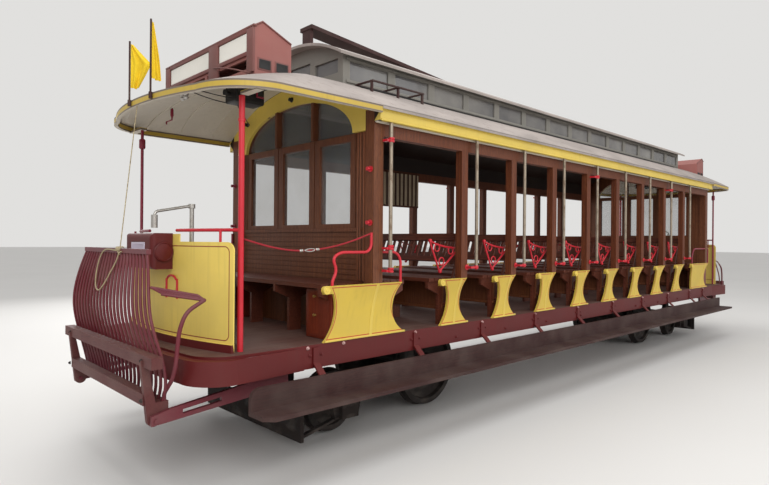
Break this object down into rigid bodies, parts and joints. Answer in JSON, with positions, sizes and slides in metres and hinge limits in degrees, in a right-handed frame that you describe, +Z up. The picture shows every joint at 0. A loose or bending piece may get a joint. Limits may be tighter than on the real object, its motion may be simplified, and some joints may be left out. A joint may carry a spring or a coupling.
{
  "type": "open electric tram",
  "caption": "Open-sided electric tram on two bogies with cross benches, reversible seat backs, clerestory roof, end platforms and slatted fenders that fold down.",
  "frame": {"origin": "middle of the car on the plane that the wheel flanges stand on", "axes": "X along the car with the end that carries the roof beam and flags at -X, Y across, Z up"},
  "size_m": [11.012, 2.62, 3.595],
  "materials": {
    "maroon_paint": "aged gloss paint",
    "yellow_paint": "gloss paint with red lining",
    "red_paint": "gloss paint",
    "black_paint": "satin paint",
    "varnished_wood": "varnished",
    "bench_wood": "varnished slats",
    "board_wood": "worn paint",
    "floor_wood": "worn boards",
    "beam_wood": "painted",
    "roof_canvas": "painted canvas",
    "hood_paint": "yellow lip, cream underside, grey canvas top",
    "clerestory_wood": "painted",
    "sign_wood": "painted, blank plates",
    "glass": "clear",
    "pole_steel": "worn",
    "handle_steel": "worn bright",
    "truck_iron": "rusty and dusty",
    "wheel_steel": "bright treads, rusty discs",
    "flag_cloth": "plain yellow cloth",
    "curtain_cloth": "striped cloth",
    "red_rope": "plaited rope",
    "natural_rope": "twisted rope"
  },
  "bodies": {
    "root": {"underframe": "maroon_paint", "floor": "floor_wood", "platform_crowns": "maroon_paint", "front_dash": "yellow_paint", "rear_dash": "yellow_paint", "lamp_boxes": "maroon_paint", "controllers": "black_paint", "brake_columns": "handle_steel", "front_bulkhead": "varnished_wood", "rear_bulkhead": "varnished_wood", "bulkhead_glass": "glass", "right_posts": "varnished_wood", "left_posts": "varnished_wood", "side_plates": "varnished_wood", "letterboards": "yellow_paint", "right_seat_ends": "yellow_paint", "left_seat_ends": "yellow_paint", "benches": "bench_wood", "right_grab_poles": "pole_steel", "left_grab_poles": "pole_steel", "platform_stanchions": "red_paint", "lower_roof": "roof_canvas", "front_hood": "hood_paint", "rear_hood": "hood_paint", "clerestory": "clerestory_wood", "clerestory_glass": "glass", "upper_roof": "roof_canvas", "sign_boxes": "sign_wood", "roof_beam": "board_wood", "roof_step": "board_wood", "right_running_board": "board_wood", "left_running_board": "board_wood", "step_hangers": "maroon_paint", "front_fender_arms": "red_paint", "rear_fender_arms": "red_paint", "flag_staffs": "board_wood", "flag_cloths": "flag_cloth", "curtain": "curtain_cloth", "safety_rope": "red_rope"},
    "front_truck": {"front_truck_frame": "truck_iron", "front_motor": "truck_iron"},
    "front_driver_wheels": {"front_driver_wheelset": "wheel_steel"},
    "front_pony_wheels": {"front_pony_wheelset": "wheel_steel"},
    "rear_truck": {"rear_truck_frame": "truck_iron", "rear_motor": "truck_iron"},
    "rear_driver_wheels": {"rear_driver_wheelset": "wheel_steel"},
    "rear_pony_wheels": {"rear_pony_wheelset": "wheel_steel"},
    "seat_back_1": {"seat_back_1": "bench_wood"},
    "seat_back_2": {"seat_back_2": "bench_wood"},
    "seat_back_3": {"seat_back_3": "bench_wood"},
    "seat_back_4": {"seat_back_4": "bench_wood"},
    "seat_back_5": {"seat_back_5": "bench_wood"},
    "seat_back_6": {"seat_back_6": "bench_wood"},
    "seat_back_7": {"seat_back_7": "bench_wood"},
    "seat_back_8": {"seat_back_8": "bench_wood"},
    "front_fender": {"front_fender_frame": "beam_wood", "front_fender_basket": "maroon_paint", "fender_rope": "natural_rope"},
    "rear_fender": {"rear_fender_frame": "beam_wood", "rear_fender_basket": "maroon_paint"}
  },
  "joints": [
    {"name": "front_truck_swivel", "type": "hinge", "parent": "root", "child": "front_truck", "pos_m": [-3.09, 0, 0.69], "axis": [0, 0, 1], "range_deg": [-12, 12]},
    {"name": "front_driver_roll", "type": "hinge", "parent": "front_truck", "child": "front_driver_wheels", "pos_m": [-2.6, 0, 0.397], "axis": [0, 1, 0], "continuous": true},
    {"name": "front_pony_roll", "type": "hinge", "parent": "front_truck", "child": "front_pony_wheels", "pos_m": [-3.82, 0, 0.27], "axis": [0, 1, 0], "continuous": true},
    {"name": "rear_truck_swivel", "type": "hinge", "parent": "root", "child": "rear_truck", "pos_m": [3.09, 0, 0.69], "axis": [0, 0, 1], "range_deg": [-12, 12]},
    {"name": "rear_driver_roll", "type": "hinge", "parent": "rear_truck", "child": "rear_driver_wheels", "pos_m": [2.6, 0, 0.397], "axis": [0, 1, 0], "continuous": true},
    {"name": "rear_pony_roll", "type": "hinge", "parent": "rear_truck", "child": "rear_pony_wheels", "pos_m": [3.82, 0, 0.27], "axis": [0, 1, 0], "continuous": true},
    {"name": "seat_back_1_turn", "type": "hinge", "parent": "root", "child": "seat_back_1", "pos_m": [-2.861, 0, 1.06], "axis": [0, -1, 0], "range_deg": [0, 40]},
    {"name": "seat_back_2_turn", "type": "hinge", "parent": "root", "child": "seat_back_2", "pos_m": [-2.074, 0, 1.06], "axis": [0, -1, 0], "range_deg": [0, 40]},
    {"name": "seat_back_3_turn", "type": "hinge", "parent": "root", "child": "seat_back_3", "pos_m": [-1.287, 0, 1.06], "axis": [0, -1, 0], "range_deg": [0, 40]},
    {"name": "seat_back_4_turn", "type": "hinge", "parent": "root", "child": "seat_back_4", "pos_m": [-0.5, 0, 1.06], "axis": [0, -1, 0], "range_deg": [0, 40]},
    {"name": "seat_back_5_turn", "type": "hinge", "parent": "root", "child": "seat_back_5", "pos_m": [0.287, 0, 1.06], "axis": [0, -1, 0], "range_deg": [0, 40]},
    {"name": "seat_back_6_turn", "type": "hinge", "parent": "root", "child": "seat_back_6", "pos_m": [1.074, 0, 1.06], "axis": [0, -1, 0], "range_deg": [0, 40]},
    {"name": "seat_back_7_turn", "type": "hinge", "parent": "root", "child": "seat_back_7", "pos_m": [1.861, 0, 1.06], "axis": [0, -1, 0], "range_deg": [0, 40]},
    {"name": "seat_back_8_turn", "type": "hinge", "parent": "root", "child": "seat_back_8", "pos_m": [2.648, 0, 1.06], "axis": [0, -1, 0], "range_deg": [0, 40]},
    {"name": "front_fender_drop", "type": "hinge", "parent": "root", "child": "front_fender", "pos_m": [-5.42, 0, 0.5], "axis": [0, -1, 0], "range_deg": [0, 85]},
    {"name": "rear_fender_drop", "type": "hinge", "parent": "root", "child": "rear_fender", "pos_m": [5.42, 0, 0.5], "axis": [0, 1, 0], "range_deg": [0, 85]}
  ]
}
